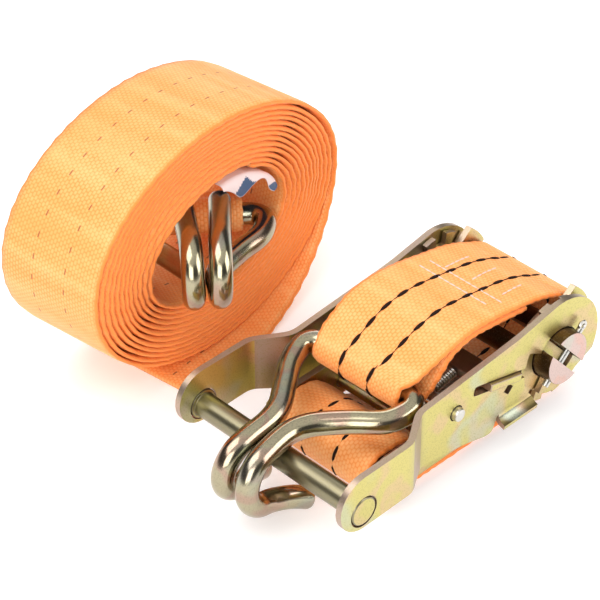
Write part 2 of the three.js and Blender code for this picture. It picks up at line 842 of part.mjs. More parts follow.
const eyeHalf = 12.5;
const eyeTail = wireRadius + 7.95 - webbingThickness;
const eyePoint = (angle) => {
  const a = radians(angle);
  return [loopOffset * Math.cos(a), loopOffset * Math.sin(a), eyeHalf];
};
place(
  hookGroup,
  'coil_eye',
  strap(
    [
      [-eyeTail, layerPitch / 2, eyeHalf],
      [-loopOffset - 2.4, layerPitch / 2 + 0.2, eyeHalf],
      ...[130, 90, 45, 0, -45, -90, -130].map(eyePoint),
      [-loopOffset - 2.4, -layerPitch / 2 - 0.2, eyeHalf],
      [-eyeTail, -layerPitch / 2, eyeHalf],
    ],
    webbingThickness,
    { perSpan: 3 },
  ),
  webbingCloth,
);

// ---------------------------------------------------------------- assembly

// The origin is the middle of the assembly's footprint, on the floor.
const tieDown = new THREE.Group();
tieDown.add(ratchet, coilGroup);
tieDown.updateMatrixWorld(true);
const middle = new THREE.Box3().setFromObject(tieDown, true).getCenter(new THREE.Vector3());
tieDown.position.set(-middle.x, -middle.y, 0);
tieDown.updateMatrixWorld(true);

export default tieDown;
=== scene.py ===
"""Ratchet tie down: the looks of its zinc plated steel, its orange webbing and its label."""

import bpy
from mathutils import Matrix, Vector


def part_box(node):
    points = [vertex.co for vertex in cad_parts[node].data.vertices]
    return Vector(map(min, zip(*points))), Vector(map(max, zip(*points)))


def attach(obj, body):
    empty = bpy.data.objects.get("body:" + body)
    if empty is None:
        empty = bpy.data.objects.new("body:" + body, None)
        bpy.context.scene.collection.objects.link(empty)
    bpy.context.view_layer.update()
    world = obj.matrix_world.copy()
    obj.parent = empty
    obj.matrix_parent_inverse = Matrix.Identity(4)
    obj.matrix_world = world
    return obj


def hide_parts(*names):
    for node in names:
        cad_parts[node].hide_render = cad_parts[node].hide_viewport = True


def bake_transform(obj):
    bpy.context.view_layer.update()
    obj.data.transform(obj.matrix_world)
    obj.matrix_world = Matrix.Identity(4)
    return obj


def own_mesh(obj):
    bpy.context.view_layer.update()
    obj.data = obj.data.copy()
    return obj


bl_info = {
    "name": "Ratchet Tie Down",
    "version": (1, 0, 0),
    "blender": (4, 5, 0),
    "location": "3D View > Sidebar > Tie Down",
    "description": "Builds a ratchet tie down with its coiled strap round its frame",
    "category": "Object",
}

import math

import bmesh
import bpy
from bpy.props import FloatProperty, FloatVectorProperty, PointerProperty
from mathutils import Matrix, Vector

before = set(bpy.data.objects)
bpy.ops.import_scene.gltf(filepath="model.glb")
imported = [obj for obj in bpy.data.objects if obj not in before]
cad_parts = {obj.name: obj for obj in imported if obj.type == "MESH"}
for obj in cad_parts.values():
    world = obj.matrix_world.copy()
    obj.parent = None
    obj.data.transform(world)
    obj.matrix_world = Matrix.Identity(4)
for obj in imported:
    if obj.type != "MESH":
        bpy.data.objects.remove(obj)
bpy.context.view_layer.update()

MM = 0.001
GRIP_LOW, GRIP_HIGH = (Vector(corner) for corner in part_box("grip_bar"))
GRIP = (GRIP_LOW + GRIP_HIGH) / 2
MANDREL_LOW = Vector(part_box("mandrel_half_lower")[0])
MANDREL_HIGH = Vector(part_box("mandrel_half_upper")[1])
SPINDLE = (MANDREL_LOW + MANDREL_HIGH) / 2
SPINDLE_X = (SPINDLE.x - GRIP.x) / MM
FLOOR_Z = -GRIP.z / MM


def from_grip(x, y, z):
    """A place given in millimetres from the grip bar's middle, in the frame's metres."""
    return GRIP + Vector((x, y, z)) * MM


# ---- properties


class WebbingSettings(bpy.types.PropertyGroup):
    """Sizes and colours of the webbing."""

    width: FloatProperty(name="Width", description="Width of the webbing", default=0.035, unit="LENGTH")
    rib: FloatProperty(name="Rib", description="Width of one warp rib", default=0.00105, unit="LENGTH")
    pick: FloatProperty(name="Pick", description="Length of one thread dash", default=0.00145, unit="LENGTH")
    bright: FloatVectorProperty(
        name="Thread", description="Colour on top of a thread", subtype="COLOR", default=(0.96, 0.34, 0.085)
    )
    # Painted shade: the darker colour laid in the gaps between the threads.
    gap_shade: FloatVectorProperty(
        name="Gap", description="Colour between the threads", subtype="COLOR", default=(0.88, 0.23, 0.038)
    )
    # Painted highlight: the sheen colour laid on the brightest threads and broad bands.
    sheen_highlight: FloatVectorProperty(
        name="Highlight",
        description="Colour of the brightest threads",
        subtype="COLOR",
        default=(1.0, 0.47, 0.17),
    )
    edge: FloatVectorProperty(
        name="Selvedge", description="Colour of the woven edges", subtype="COLOR", default=(1.0, 0.26, 0.045)
    )
    mark_pitch: FloatProperty(
        name="Mark pitch", description="Distance between marking stitches", default=0.0062, unit="LENGTH"
    )
    mark_length: FloatProperty(
        name="Mark length", description="Length of a marking stitch", default=0.0046, unit="LENGTH"
    )


class ZincSettings(bpy.types.PropertyGroup):
    """Colours of the yellow passivated zinc."""

    straw: FloatVectorProperty(
        name="Straw", description="Main plating colour", subtype="COLOR", default=(0.56, 0.49, 0.17)
    )
    rose: FloatVectorProperty(
        name="Rose", description="Pink bands of the plating", subtype="COLOR", default=(0.62, 0.37, 0.30)
    )
    mint: FloatVectorProperty(
        name="Mint", description="Pale green and blue patches", subtype="COLOR", default=(0.44, 0.50, 0.42)
    )
    edge: FloatProperty(
        name="Edge", description="Rounding of the plates' edges", default=0.00035, unit="LENGTH"
    )


class StageSettings(bpy.types.PropertyGroup):
    """Lights and the light all round."""

    key: FloatProperty(name="Key light", description="Power of the main light in watts", default=4.6)
    fill: FloatProperty(name="Fill light", description="Power of each fill light in watts", default=5.0)
    sky: FloatProperty(name="Surround", description="Strength of the light all round", default=0.8)


# ---- shader graph


class Value:
    """A number or colour socket in a graph, with arithmetic for numbers."""

    def __init__(self, graph, socket):
        self.graph = graph
        self.socket = socket

    def math(self, operation, *others):
        return self.graph.node("ShaderNodeMath", {"operation": operation}, self, *others)

    def __add__(self, other):
        return self.math("ADD", other)

    __radd__ = __add__

    def __mul__(self, other):
        return self.math("MULTIPLY", other)

    __rmul__ = __mul__

    def __sub__(self, other):
        return self.math("SUBTRACT", other)

    def __rsub__(self, other):
        return self.graph.node("ShaderNodeMath", {"operation": "SUBTRACT"}, other, self)

    def __truediv__(self, other):
        return self.math("DIVIDE", other)

    def fraction(self):
        return self.math("FRACT")

    def floor(self):
        return self.math("FLOOR")

    def absolute(self):
        return self.math("ABSOLUTE")

    def power(self, exponent):
        return self.math("POWER", exponent)

    def below(self, limit, soft):
        """1 where the value is under limit, falling to 0 over soft."""
        settings = {"interpolation_type": "SMOOTHSTEP"}
        return self.graph.node("ShaderNodeMapRange", settings, self, limit, limit + soft, 1.0, 0.0)


class Graph:
    """Builds one material's nodes."""

    def __init__(self, name):
        self.material = bpy.data.materials.new(name)
        self.material.use_nodes = True
        self.tree = self.material.node_tree
        self.shader = self.tree.nodes["Principled BSDF"]

    def node(self, kind, settings=None, *inputs, output=0, **named):
        made = self.tree.nodes.new(kind)
        for key, setting in (settings or {}).items():
            setattr(made, key, setting)
        sockets = [socket for socket in made.inputs if socket.enabled]
        pairs = list(zip(sockets, inputs))
        pairs += [(made.inputs[key.replace("_", " ")], item) for key, item in named.items()]
        for socket, item in pairs:
            self.feed(socket, item)
        live = [socket for socket in made.outputs if socket.enabled]
        chosen = made.outputs[output] if isinstance(output, str) else live[output]
        return Value(self, chosen)

    def feed(self, socket, item):
        if isinstance(item, Value):
            self.tree.links.new(item.socket, socket)
        elif item is not None:
            value = tuple(item) if hasattr(item, "__len__") else item
            if hasattr(value, "__len__") and len(value) == 3 and len(socket.default_value) == 4:
                value = (*value, 1.0)
            socket.default_value = value

    def mix(self, factor, first, second):
        return self.node("ShaderNodeMix", {"data_type": "RGBA"}, factor, first, second)

    def noise(self, where, scale, detail=3.0):
        return self.node("ShaderNodeTexNoise", None, Vector=where, Scale=scale, Detail=detail)

    def object_place(self):
        return self.node("ShaderNodeTexCoord", None, output="Object")

    def stretched(self, where, scale):
        return self.node("ShaderNodeMapping", None, Vector=where, Scale=scale)

    def bump(self, height, strength, distance):
        normal = self.node("ShaderNodeBump", None, Height=height, Strength=strength, Distance=distance)
        self.feed(self.shader.inputs["Normal"], normal)

    def finish(self, **inputs):
        for key, item in inputs.items():
            self.feed(self.shader.inputs[key.replace("_", " ")], item)
        return self.material


def zinc_material(name, zinc, shade, roughness, rose_share, patch, rim=None, rim_share=0.6, tint=None):
    """Yellow passivated zinc: straw with rose bands and pale patches, and another tint on edge faces."""
    graph = Graph(name)
    place = graph.object_place()
    drift = graph.noise(place, patch, 2.0)
    bands = (graph.noise(place, patch * 0.45, 4.0) * 7.0 + drift * 2.0).fraction()
    rose = (bands - 0.5).absolute().below(0.05, 0.25)
    pale = (drift - 0.64).absolute().below(0.01, 0.09) * 0.5
    plain = tuple(channel * shade for channel in tint or zinc.straw)
    colour = graph.mix(rose * rose_share, plain, tuple(channel * shade for channel in zinc.rose))
    colour = graph.mix(pale, colour, tuple(channel * shade for channel in zinc.mint))
    if rim:
        edge = graph.node("ShaderNodeAttribute", {"attribute_name": "edge_face"}, output="Fac")
        colour = graph.mix(edge * (drift * 0.6 + rim_share), colour, rim)
    grain = graph.noise(graph.stretched(place, (1.0, 1.0, 14.0)), 900.0, 2.0)
    specks = graph.noise(place, 2600.0, 2.0)
    colour = graph.mix(specks.below(0.36, 0.1) * 0.35, colour, tuple(channel * 0.45 for channel in plain))
    graph.bump(grain * 0.6 + specks * 0.6, 0.22, 0.00005)
    rough = drift * 0.14 + grain * 0.1 + (roughness - 0.1)
    return graph.finish(Base_Color=colour, Metallic=1.0, Roughness=rough)


def steel_material(name, colour, roughness):
    """Bare bright spring steel."""
    graph = Graph(name)
    place = graph.object_place()
    grain = graph.noise(place, 1200.0, 2.0)
    shade = graph.mix(grain, tuple(channel * 0.8 for channel in colour), colour)
    return graph.finish(Base_Color=shade, Metallic=1.0, Roughness=grain * 0.12 + roughness)


MARK_SIDE = 1.0 / 6.0
MARK_BROWN = (0.16, 0.06, 0.02)


def webbing_material(name, webbing, slits=False):
    """Woven polyester: ribs of thread dashes, each rib set half a dash from the last."""
    graph = Graph(name)
    uv = graph.node("ShaderNodeUVMap", {"uv_map": "weave"})
    along = graph.node("ShaderNodeSeparateXYZ", None, uv)
    across = Value(graph, along.socket.node.outputs["Y"])
    uneven = graph.noise(uv, 420.0, 3.0)
    broad = graph.noise(uv, 45.0, 2.0)
    bands = graph.noise(graph.stretched(uv, (1.0, 0.1, 1.0)), 190.0, 2.0)
    column = across / webbing.rib
    rib = 1.0 - ((column.fraction() - 0.5).absolute() * 2.0).power(2.6)
    run = along / webbing.pick + column.floor() * 0.5 + uneven * 0.3
    dash = 1.0 - ((run.fraction() - 0.5).absolute() * 2.0).power(2.2)
    height = rib * dash
    # The gaps between the threads are painted in the darker colour: painted shade.
    colour = graph.mix((height * 0.7 + uneven * 0.4).below(0.15, 0.5) * 0.7, webbing.bright, webbing.gap_shade)
    # Painted sheen: broad bands and raised threads are mixed towards the highlight colour; the same mask
    # lowers the roughness.
    painted_sheen = (height * 0.7 + bands * 1.9 - 0.9) * (uneven + 0.4) * (broad + 0.45)
    colour = graph.mix(painted_sheen, colour, webbing.sheen_highlight)
    side = (across / webbing.width - 0.5).absolute()
    colour = graph.mix(side.below(0.474, 0.012).math("MULTIPLY_ADD", -0.85, 0.85), colour, webbing.edge)
    if slits:
        line = (side - MARK_SIDE).absolute().below(0.004, 0.006)
        beat = ((along / webbing.mark_pitch).fraction() - 0.5).absolute().below(0.11, 0.05)
        colour = graph.mix(line * beat * 0.75, colour, MARK_BROWN)
    graph.bump(height * 0.5 + uneven * 0.25 + bands * 2.6, 0.6, 0.0004)
    graph.finish(Sheen_Weight=0.25, Sheen_Roughness=0.4, Sheen_Tint=(1.0, 0.7, 0.4, 1.0))
    return graph.finish(Base_Color=colour, Roughness=0.66 - painted_sheen * 0.2, Specular_IOR_Level=0.4)


def thread_material(name, colour, roughness=0.75):
    """Sewing thread with a fine twist."""
    graph = Graph(name)
    place = graph.object_place()
    twist = graph.noise(place, 3500.0, 2.0)
    shade = graph.mix(twist, tuple(channel * 0.6 for channel in colour), colour)
    graph.bump(twist, 0.5, 0.0001)
    return graph.finish(Base_Color=shade, Roughness=roughness, Specular_IOR_Level=0.2)


def paper_material(name, colour, dirt):
    """Coated label paper, slightly uneven."""
    graph = Graph(name)
    place = graph.object_place()
    cloud = graph.noise(place, 240.0, 3.0)
    shade = graph.mix(cloud * dirt, colour, tuple(channel * 0.7 for channel in colour))
    graph.bump(graph.noise(place, 1500.0, 2.0), 0.2, 0.00008)
    return graph.finish(Base_Color=shade, Roughness=0.5)


MATERIALS = {}
PLATE_RIM = (0.42, 0.31, 0.25)
# Painted shade: the dark tint of the handle lip's channel.
LIP_SHADE_TINT = (0.12, 0.09, 0.035)
RIVET_RIM = (0.25, 0.22, 0.14)
# Painted shade: the near-black sides and recess of the mandrel halves.
MANDREL_SIDE_SHADE = (0.10, 0.06, 0.03)
MANDREL_END = (0.56, 0.42, 0.38)
WIRE_TINT = (0.60, 0.53, 0.35)


def material(name):
    """Makes each finish once."""
    if not MATERIALS:
        zinc = bpy.context.scene.tie_zinc
        webbing = bpy.context.scene.tie_webbing
        MATERIALS.update({
            "plate": zinc_material("zinc_plate", zinc, 1.0, 0.36, 0.4, 50.0, PLATE_RIM),
            "pin": zinc_material("zinc_pin", zinc, 0.85, 0.3, 0.6, 160.0),
            "hollow": zinc_material("zinc_lip_shade", zinc, 1.0, 0.3, 0.2, 60.0, tint=LIP_SHADE_TINT),
            "rivet": zinc_material("zinc_rivet", zinc, 0.95, 0.3, 0.3, 60.0, RIVET_RIM, 0.8),
            # The mandrel's side faces take the dark rim tint as painted shade.
            "mandrel": zinc_material(
                "zinc_mandrel", zinc, 1.0, 0.3, 0.6, 90.0, MANDREL_SIDE_SHADE, 0.8, MANDREL_END
            ),
            "wire": zinc_material("zinc_wire", zinc, 0.62, 0.16, 0.6, 60.0, tint=WIRE_TINT),
            "steel": steel_material("spring_steel", (0.62, 0.6, 0.56), 0.24),
            "webbing": webbing_material("webbing", webbing),
            "coil": webbing_material("webbing_marked", webbing, slits=True),
            "black": thread_material("black_thread", (0.018, 0.008, 0.005), 0.95),
            "rose": thread_material("pale_thread", (0.96, 0.66, 0.56)),
            "paper": paper_material("label_paper", (0.85, 0.68, 0.66), 0.35),
            "navy": paper_material("label_back", (0.035, 0.075, 0.17), 0.5),
        })
    return MATERIALS[name]


# ---- mesh helpers


def smooth_curve(points, per_span):
    """A centripetal Catmull-Rom curve through the points."""
    ends = [points[0] * 2 - points[1], *points, points[-1] * 2 - points[-2]]
    out = []
    for i in range(1, len(ends) - 2):
        p0, p1, p2, p3 = ends[i - 1:i + 3]
        t1 = math.sqrt((p1 - p0).length)
        t2 = t1 + math.sqrt((p2 - p1).length)
        t3 = t2 + math.sqrt((p3 - p2).length)
        for step in range(per_span):
            t = t1 + (t2 - t1) * step / per_span
            a1 = p0.lerp(p1, t / t1)
            a2 = p1.lerp(p2, (t - t1) / (t2 - t1))
            a3 = p2.lerp(p3, (t - t2) / (t3 - t2))
            b1 = a1.lerp(a2, t / t2)
            b2 = a2.lerp(a3, (t - t1) / (t3 - t1))
            out.append(b1.lerp(b2, (t - t1) / (t2 - t1)))
    out.append(points[-1].copy())
    return out


def add_object(name, mesh, *finishes):
    """Links a mesh as a piece with its finishes."""
    for finish in finishes:
        mesh.materials.append(material(finish))
    piece = bpy.data.objects.new(name, mesh)
    bpy.context.scene.collection.objects.link(piece)
    return piece


def face_outwards(mesh):
    """Turns every face of a closed mesh to the outside."""
    shape = bmesh.new()
    shape.from_mesh(mesh)
    bmesh.ops.recalc_face_normals(shape, faces=shape.faces)
    shape.to_mesh(mesh)
    shape.free()


def applied(piece):
    """Bakes the modifiers of a piece into its mesh."""
    evaluated = piece.evaluated_get(bpy.context.evaluated_depsgraph_get())
    mesh = bpy.data.meshes.new_from_object(evaluated)
    old = piece.data
    piece.modifiers.clear()
    piece.data = mesh
    bpy.data.meshes.remove(old)
    return piece


DOME = ((0.22, 0.94), (0.38, 0.78), (0.45, 0.5))


def tube(name, points, radius, sides, finish):
    """A round wire swept along points, with domed ends."""
    rings = []
    tangents = []
    for i in range(len(points)):
        before = points[max(i - 1, 0)]
        after = points[min(i + 1, len(points) - 1)]
        tangents.append((after - before).normalized())
    side = tangents[0].orthogonal().normalized()
    stations = [(point, tangent, 1.0) for point, tangent in zip(points, tangents)]
    for end, sign in ((0, -1), (-1, 1)):
        point, tangent = points[end], tangents[end]
        caps = [(point + tangent * sign * radius * out, tangent, size) for out, size in DOME]
        stations = list(reversed(caps)) + stations if end == 0 else stations + caps
    for point, tangent, size in stations:
        side = (side - tangent * side.dot(tangent)).normalized()
        up = tangent.cross(side)
        rings.append([
            point + (side * math.cos(turn) + up * math.sin(turn)) * radius * size
            for turn in (2 * math.pi * k / sides for k in range(sides))
        ])
    mesh = bpy.data.meshes.new(name)
    faces = [tuple(reversed(range(sides)))]
    for i in range(len(rings) - 1):
        for k in range(sides):
            a, b = i * sides + k, i * sides + (k + 1) % sides
            faces.append((a, b, b + sides, a + sides))
    last = (len(rings) - 1) * sides
    faces.append(tuple(range(last, last + sides)))
    mesh.from_pydata([vertex for ring in rings for vertex in ring], [], faces)
    mesh.shade_smooth()
    return add_object(name, mesh, finish)


FULL = 17.5


class Band:
    """A strap along stations (x, z, half width) in millimetres, its width along y."""

    def __init__(self, stations, per_span, place, lean=None, shift=None, waver=0.12):
        points = [Vector((x, z, half)) for x, z, half in stations]
        self.samples = smooth_curve(points, per_span)
        self.place = place
        self.lean = lean or (lambda x: (0.0, 0.0))
        self.shift = shift or (lambda share: 0.0)
        self.waver = waver
        self.lengths = [0.0]
        for before, after in zip(self.samples, self.samples[1:]):
            self.lengths.append(self.lengths[-1] + math.hypot(after.x - before.x, after.y - before.y))

    def normal(self, i):
        before = self.samples[max(i - 1, 0)]
        after = self.samples[min(i + 1, len(self.samples) - 1)]
        dx, dz = after.x - before.x, after.y - before.y
        size = math.hypot(dx, dz)
        return -dz / size, dx / size

    def ripple(self, length, across):
        """How far the cloth stands off its path: slow waves that grow towards the edges."""
        wave = math.sin(length / 9.0 + across * 1.7) + 0.6 * math.sin(length / 4.3 - across * 2.9 + 1.0)
        return self.waver * wave * (0.35 + 0.65 * across * across)

    def point(self, i, across, lift):
        """A place on the band: across runs -1 to 1, lift is millimetres along the normal."""
        sample = self.samples[i]
        nx, nz = self.normal(i)
        y = across * sample.z
        off = lift + self.ripple(self.lengths[i], across)
        lean_x, lean_z = self.lean(sample.x)
        share = i / (len(self.samples) - 1)
        x = sample.x + nx * off + lean_x * y
        return self.place(x, y + self.shift(share), sample.y + nz * off + lean_z * y)

    def mesh(self, name, thickness, columns, scallop=0.14, scallop_pitch=3.3):
        """The closed band with rounded edges and a map in metres along and across."""
        half = thickness / 2
        shares = []
        for k in range(columns + 1):
            shares.append(-math.cos(math.pi * k / columns) * 0.15 + (2 * k / columns - 1) * 0.85)
        verts = []
        maps = []
        width = max(sample.z for sample in self.samples) * 2
        for i, length in enumerate(self.lengths):
            grow = 1 + scallop / FULL * math.sin(2 * math.pi * length / scallop_pitch)
            ring = []
            for side in (1, -1):
                for share in shares if side == 1 else reversed(shares):
                    edge = max(0.0, (abs(share) - 0.95) / 0.05)
                    lift = side * half * math.sqrt(max(0.0, 1 - 0.65 * edge * edge))
                    ring.append(self.point(i, share * (grow if edge > 0 else 1.0), lift))
                    maps.append((length * MM, (share + 1) / 2 * width * MM))
            verts.extend(ring)
        count = 2 * (columns + 1)
        faces = []
        corners = []
        for i in range(len(self.lengths) - 1):
            for k in range(count):
                a, b = i * count + k, i * count + (k + 1) % count
                faces.append((a, a + count, b + count, b))
        for base, flip in ((0, False), ((len(self.lengths) - 1) * count, True)):
            for k in range(columns):
                quad = (base + k, base + k + 1, base + count - 2 - k, base + count - 1 - k)
                faces.append(tuple(reversed(quad)) if flip else quad)
        mesh = bpy.data.meshes.new(name)
        mesh.from_pydata(verts, [], faces)
        layer = mesh.uv_layers.new(name="weave")
        for loop in mesh.loops:
            corners.extend(maps[loop.vertex_index])
        layer.data.foreach_set("uv", corners)
        face_outwards(mesh)
        mesh.shade_smooth()
        return mesh

    def row(self, across, lift, low, high):
        """Points and upward directions along one line of the band, from one length to another."""
        found = []
        for i, length in enumerate(self.lengths):
            if low <= length <= high:
                base = self.point(i, across, lift)
                found.append((base, (self.point(i, across, lift + 1) - base).normalized()))
        return found

    def line(self, start, end, lift, steps=30):
        """The same along a straight line on the band, between two (length, across) places."""
        found = []
        for k in range(steps + 1):
            length = start[0] + (end[0] - start[0]) * k / steps
            across = start[1] + (end[1] - start[1]) * k / steps
            i = max(index for index, reached in enumerate(self.lengths[:-1]) if reached <= length)
            part = (length - self.lengths[i]) / (self.lengths[i + 1] - self.lengths[i])
            low = self.point(i, across, lift).lerp(self.point(i + 1, across, lift), part)
            high = self.point(i, across, lift * 2).lerp(self.point(i + 1, across, lift * 2), part)
            found.append((low, (high - low).normalized()))
        return found


def stitch_tree():
    """Geometry nodes: a stitch at every pitch along each row of edges, lying on the cloth."""
    tree = bpy.data.node_groups.get("Stitch row")
    if tree:
        return tree
    tree = bpy.data.node_groups.new("Stitch row", "GeometryNodeTree")
    face = tree.interface
    face.new_socket(name="Rows", in_out="INPUT", socket_type="NodeSocketGeometry")
    for label in ("Pitch", "Length", "Width", "Height"):
        face.new_socket(name=label, in_out="INPUT", socket_type="NodeSocketFloat")
    face.new_socket(name="Thread", in_out="INPUT", socket_type="NodeSocketMaterial")
    face.new_socket(name="Stitches", in_out="OUTPUT", socket_type="NodeSocketGeometry")

    def add(kind, **settings):
        node = tree.nodes.new(kind)
        for key, setting in settings.items():
            setattr(node, key, setting)
        return node

    given = add("NodeGroupInput")
    out = add("NodeGroupOutput")
    curve = add("GeometryNodeMeshToCurve")
    spaced = add("GeometryNodeResampleCurve", mode="LENGTH")
    tangent = add("GeometryNodeInputTangent")
    up = add("GeometryNodeInputNamedAttribute", data_type="FLOAT_VECTOR")
    up.inputs["Name"].default_value = "up"
    turn = add("FunctionNodeAxesToRotation", primary_axis="Z", secondary_axis="X")
    bead = add("GeometryNodeMeshUVSphere")
    bead.inputs["Segments"].default_value = 10
    bead.inputs["Rings"].default_value = 6
    bead.inputs["Radius"].default_value = 0.5
    size = add("ShaderNodeCombineXYZ")
    shaped = add("GeometryNodeTransform")
    placed = add("GeometryNodeInstanceOnPoints")
    real = add("GeometryNodeRealizeInstances")
    smooth = add("GeometryNodeSetShadeSmooth")
    dyed = add("GeometryNodeSetMaterial")
    link = tree.links.new
    link(given.outputs["Rows"], curve.inputs["Mesh"])
    link(curve.outputs["Curve"], spaced.inputs["Curve"])
    link(given.outputs["Pitch"], spaced.inputs["Length"])
    link(spaced.outputs["Curve"], placed.inputs["Points"])
    link(up.outputs["Attribute"], turn.inputs["Primary Axis"])
    link(tangent.outputs["Tangent"], turn.inputs["Secondary Axis"])
    link(turn.outputs["Rotation"], placed.inputs["Rotation"])
    for label, axis in (("Length", "X"), ("Width", "Y"), ("Height", "Z")):
        link(given.outputs[label], size.inputs[axis])
    link(bead.outputs["Mesh"], shaped.inputs["Geometry"])
    link(size.outputs["Vector"], shaped.inputs["Scale"])
    link(shaped.outputs["Geometry"], placed.inputs["Instance"])
    link(placed.outputs["Instances"], real.inputs["Geometry"])
    link(real.outputs["Geometry"], smooth.inputs["Geometry"])
    link(smooth.outputs["Geometry"], dyed.inputs["Geometry"])
    link(given.outputs["Thread"], dyed.inputs["Material"])
    link(dyed.outputs["Geometry"], out.inputs["Stitches"])
    return tree


def stitches(name, rows, finish, pitch, length, width, height):
    """Stitches along rows of (place, up) pairs."""
    verts = [place for row in rows for place, up in row]
    ups = [value for row in rows for place, up in row for value in up]
    edges = []
    start = 0
    for row in rows:
        edges += [(start + k, start + k + 1) for k in range(len(row) - 1)]
        start += len(row)
    mesh = bpy.data.meshes.new(name)
    mesh.from_pydata(verts, edges, [])
    mesh.attributes.new("up", "FLOAT_VECTOR", "POINT").data.foreach_set("vector", ups)
    piece = bpy.data.objects.new(name, mesh)
    bpy.context.scene.collection.objects.link(piece)
    modifier = piece.modifiers.new("Stitch row", "NODES")
    modifier.node_group = stitch_tree()
    wanted = {"Pitch": pitch, "Length": length, "Width": width, "Height": height, "Thread": material(finish)}
    for item in modifier.node_group.interface.items_tree:
        if item.item_type == "SOCKET" and item.name in wanted:
            modifier[item.identifier] = wanted[item.name]
    return applied(piece)


# ---- the ratchet's metal


BEVEL_SEGMENTS = 2
BEVEL_ANGLE = math.radians(38)
SHARP_ANGLE = math.radians(32)
SIDE_FACING = 0.93


def worked(node, name, finish, body, edge):
    """A bevelled copy of a steel piece, which stands for its plain node."""
    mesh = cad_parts[node].data.copy()
    mesh.name = name
    mesh.materials.clear()
    shape = bmesh.new()
    shape.from_mesh(mesh)
    bmesh.ops.remove_doubles(shape, verts=shape.verts, dist=2e-6)
    bmesh.ops.dissolve_limit(shape, angle_limit=math.radians(1.0), verts=shape.verts, edges=shape.edges)
    shape.to_mesh(mesh)
    shape.free()
    mesh.shade_flat()
    piece = add_object(name, mesh, finish)
    bevel = piece.modifiers.new("Edges", "BEVEL")
    bevel.width = edge
    bevel.segments = BEVEL_SEGMENTS
    bevel.limit_method = "ANGLE"
    bevel.angle_limit = BEVEL_ANGLE
    applied(piece)
    piece.data.shade_smooth()
    piece.data.set_sharp_from_angle(angle=SHARP_ANGLE)
    weighted = piece.modifiers.new("Weighted", "WEIGHTED_NORMAL")
    weighted.keep_sharp = True
    applied(piece)
    edges = [0.0 if abs(polygon.normal.y) > SIDE_FACING else 1.0 for polygon in piece.data.polygons]
    piece.data.attributes.new("edge_face", "FLOAT", "FACE").data.foreach_set("value", edges)
    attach(piece, body)
    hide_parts(node)
    return piece


LIP_INNER_Y = 24.75
LIP_LOW, LIP_HIGH = -9.4, -6.4


class TIEDOWN_OT_plates(bpy.types.Operator):
    """Bevels the frame and handle plates"""

    bl_idname = "tiedown.plates"
    bl_label = "Side Plates"

    def execute(self, context):
        edge = context.scene.tie_zinc.edge
        for side in ("near", "far"):
            worked(f"frame_plate_{side}", f"frame_side_{side}", "plate", "frame", edge)
            node = f"handle_plate_{side}"
            plate = worked(node, f"handle_side_{side}", "plate", "handle", edge)
            self.shade_lip(plate.data)
        return {"FINISHED"}

    def shade_lip(self, mesh):
        """The lip's hollow upper face, painted dark as the shade in its channel."""
        mesh.materials.append(material("hollow"))
        for polygon in mesh.polygons:
            place = (polygon.center - GRIP) / MM
            inside = abs(place.y) > LIP_INNER_Y and LIP_LOW < place.z < LIP_HIGH
            if inside and polygon.normal.z > 0.1:
                polygon.material_index = 1


class TIEDOWN_OT_fittings(bpy.types.Operator):
    """Bevels the bolt, pins, gears, mandrel, pawls and cotters"""

    bl_idname = "tiedown.fittings"
    bl_label = "Bolts, Gears and Pawls"

    def execute(self, context):
        edge = context.scene.tie_zinc.edge
        for node, finish, slot, body, share in (
            ("anchor_bolt", "pin", "zinc_pin", "frame", 1.6),
            ("anchor_nut", "pin", "zinc_pin", "frame", 1.2),
            ("anchor_sleeve", "plate", "zinc_plate", "frame", 0.8),
            ("frame_tie", "pin", "zinc_pin", "frame", 1.0),
            ("lock_pawl", "plate", "zinc_plate", "lock_pawl", 1.0),
            ("mandrel_half_upper", "mandrel", "zinc_pin", "spindle", 0.8),
            ("mandrel_half_lower", "mandrel", "zinc_pin", "spindle", 0.8),
            ("gear_near", "plate", "zinc_plate", "spindle", 0.7),
            ("gear_far", "plate", "zinc_plate", "spindle", 0.7),
            ("cotter_near", "steel", "spring_steel", "spindle", 0.4),
            ("cotter_far", "steel", "spring_steel", "spindle", 0.4),
            ("grip_bar", "rivet", "zinc_plate", "handle", 2.2),
            ("cross_pin", "steel", "zinc_pin", "handle", 3.0),
            ("drive_pawl", "plate", "zinc_plate", "drive_pawl", 1.0),
        ):
            worked(node, f"{node}_worked", finish, body, edge * share)
        return {"FINISHED"}


SPRING_RADIUS = 1.6


class TIEDOWN_OT_springs(bpy.types.Operator):
    """Winds the four pawl springs"""

    bl_idname = "tiedown.springs"
    bl_label = "Pawl Springs"

    def execute(self, context):
        turns, per_turn, wire = 9, 22, 0.38
        for kind, body in (("lock", "frame"), ("drive", "handle")):
            for side in ("near", "far"):
                node = f"{kind}_spring_{side}"
                low, high = (Vector(corner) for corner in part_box(node))
                y = (low.y + high.y) / 2
                around = (high.y - low.y) / 2
                start = Vector((low.x + wire * MM, y, low.z + around))
                end = Vector((high.x - wire * MM, y, high.z - around))
                axis = end - start
                turn = Vector((0, 0, 1)).rotation_difference(axis).to_matrix()
                points = []
                for i in range(turns * per_turn + 1):
                    angle = 2 * math.pi * i / per_turn
                    ring = Vector((math.cos(angle), math.sin(angle), 0)) * SPRING_RADIUS * MM
                    along = axis.length * i / (turns * per_turn)
                    points.append(start + turn @ (ring + Vector((0, 0, along))))
                piece = tube(f"{node}_wound", points, wire * MM, 10, "steel")
                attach(piece, body)
                if kind == "lock":
                    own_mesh(piece)
                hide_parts(node)
        return {"FINISHED"}


# ---- hooks

WIRE_RADIUS = 3.25
BEND_RADIUS = 8.3
ELBOW_BEND = 4.6
SHANK_Y = WIRE_RADIUS + 0.25


